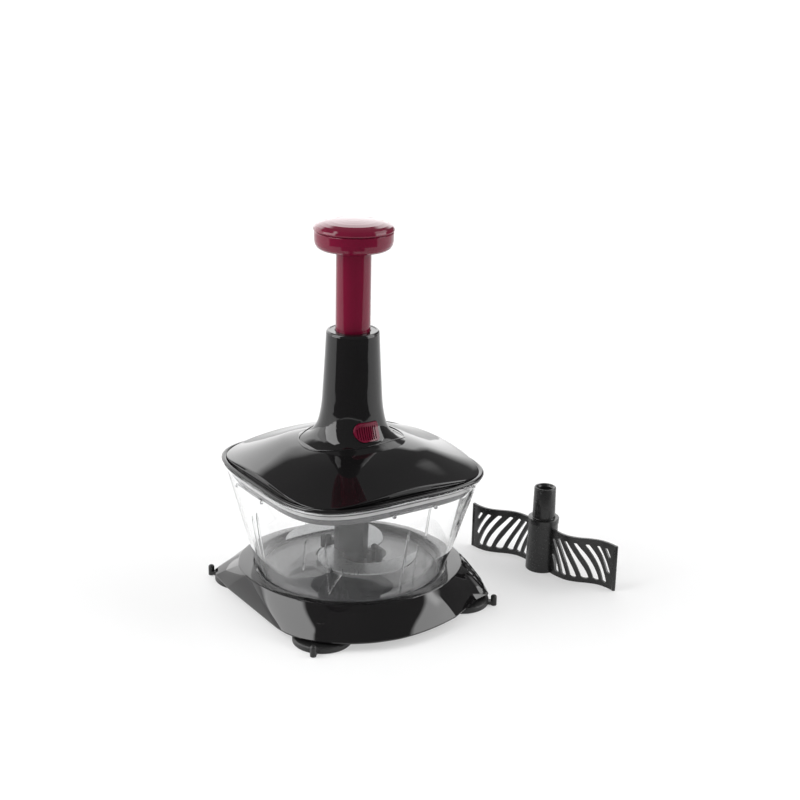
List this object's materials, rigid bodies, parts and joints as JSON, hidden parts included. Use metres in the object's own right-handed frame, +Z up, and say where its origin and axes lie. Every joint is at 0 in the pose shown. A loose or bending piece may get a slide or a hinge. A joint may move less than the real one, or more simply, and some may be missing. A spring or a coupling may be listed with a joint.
{
  "type": "plunger food chopper",
  "caption": "Hand-powered food chopper: press plunger on a domed lid spins a curved blade in a clear square bowl on a suction-foot base, with a loose mixing paddle.",
  "frame": {"origin": "centre of the four suction cups' contact plane, on the drive axis, at table height", "axes": "+Z up the plunger axis, -Y to the side with the lock button, +X to the side where the loose paddle stands"},
  "size_m": [0.2607, 0.2059, 0.2873],
  "materials": {
    "burgundy": "moulded gloss, deep wine red",
    "black_gloss": "high gloss black",
    "clear_plastic": "clear, polished",
    "liner_grey": "dark grey gloss",
    "cup_rubber": "soft black rubber",
    "seal_grey": "silicone",
    "hub_black": "moulded",
    "paddle_black": "satin",
    "nylon": "natural nylon",
    "blade_steel": "ground stainless",
    "steel": "bright stainless",
    "brass": "turned"
  },
  "bodies": {
    "base": {"base_shell": "black_gloss", "suction_cup_front_left": "cup_rubber", "suction_cup_front_right": "cup_rubber", "suction_cup_rear_right": "cup_rubber", "suction_cup_rear_left": "cup_rubber"},
    "bowl": {"bowl": "clear_plastic", "centre_pin": "steel"},
    "blades": {"s_blade": "blade_steel", "blade_hub": "hub_black"},
    "lid": {"lid_cover": "black_gloss", "lid_liner": "liner_grey", "lid_seal": "seal_grey", "drive_tower": "black_gloss", "tower_bush": "black_gloss", "tower_screws": "steel", "shaft_bush": "brass"},
    "button": {"lock_button": "burgundy"},
    "plunger": {"knob_cap": "burgundy", "knob_base": "burgundy", "knob_screw": "steel", "plunger_tube": "burgundy", "drive_nut": "nylon", "ratchet_ring": "nylon", "nut_retainer": "steel", "return_spring": "steel"},
    "drive_shaft": {"twist_bar": "steel", "spring_seat": "nylon", "thrust_washer": "brass", "drive_dog": "hub_black", "dog_screw": "steel"},
    "paddle": {"mixing_paddle": "paddle_black"}
  },
  "joints": [
    {"name": "bowl_lift", "type": "slide", "parent": "base", "child": "bowl", "axis": [0, 0, 1], "range_m": [0, 0.05]},
    {"name": "blade_spin", "type": "hinge", "parent": "bowl", "child": "blades", "pos_m": [0, 0, 0.037], "axis": [0, 0, 1], "range_deg": [0, 585]},
    {"name": "lid_lift", "type": "slide", "parent": "bowl", "child": "lid", "axis": [0, 0, 1], "range_m": [0, 0.08]},
    {"name": "plunger_press", "type": "slide", "parent": "lid", "child": "plunger", "axis": [0, 0, -1], "range_m": [0, 0.058], "stiffness_N_per_m": 120, "springref_m": -0.02, "deforming": ["return_spring"]},
    {"name": "shaft_spin", "type": "hinge", "parent": "lid", "child": "drive_shaft", "pos_m": [0, 0, 0.12], "axis": [0, 0, 1], "range_deg": [0, 585]},
    {"name": "button_press", "type": "slide", "parent": "lid", "child": "button", "axis": [0, 1, 0], "range_m": [0, 0.0018]},
    {"name": "paddle_lift", "type": "slide", "parent": "base", "child": "paddle", "axis": [0, 0, 1], "range_m": [0, 0.05]}
  ],
  "couplings": [
    {"joint": "shaft_spin", "follows": "plunger_press", "rad_per_m": 174.53},
    {"joint": "blade_spin", "follows": "plunger_press", "rad_per_m": 174.53}
  ]
}
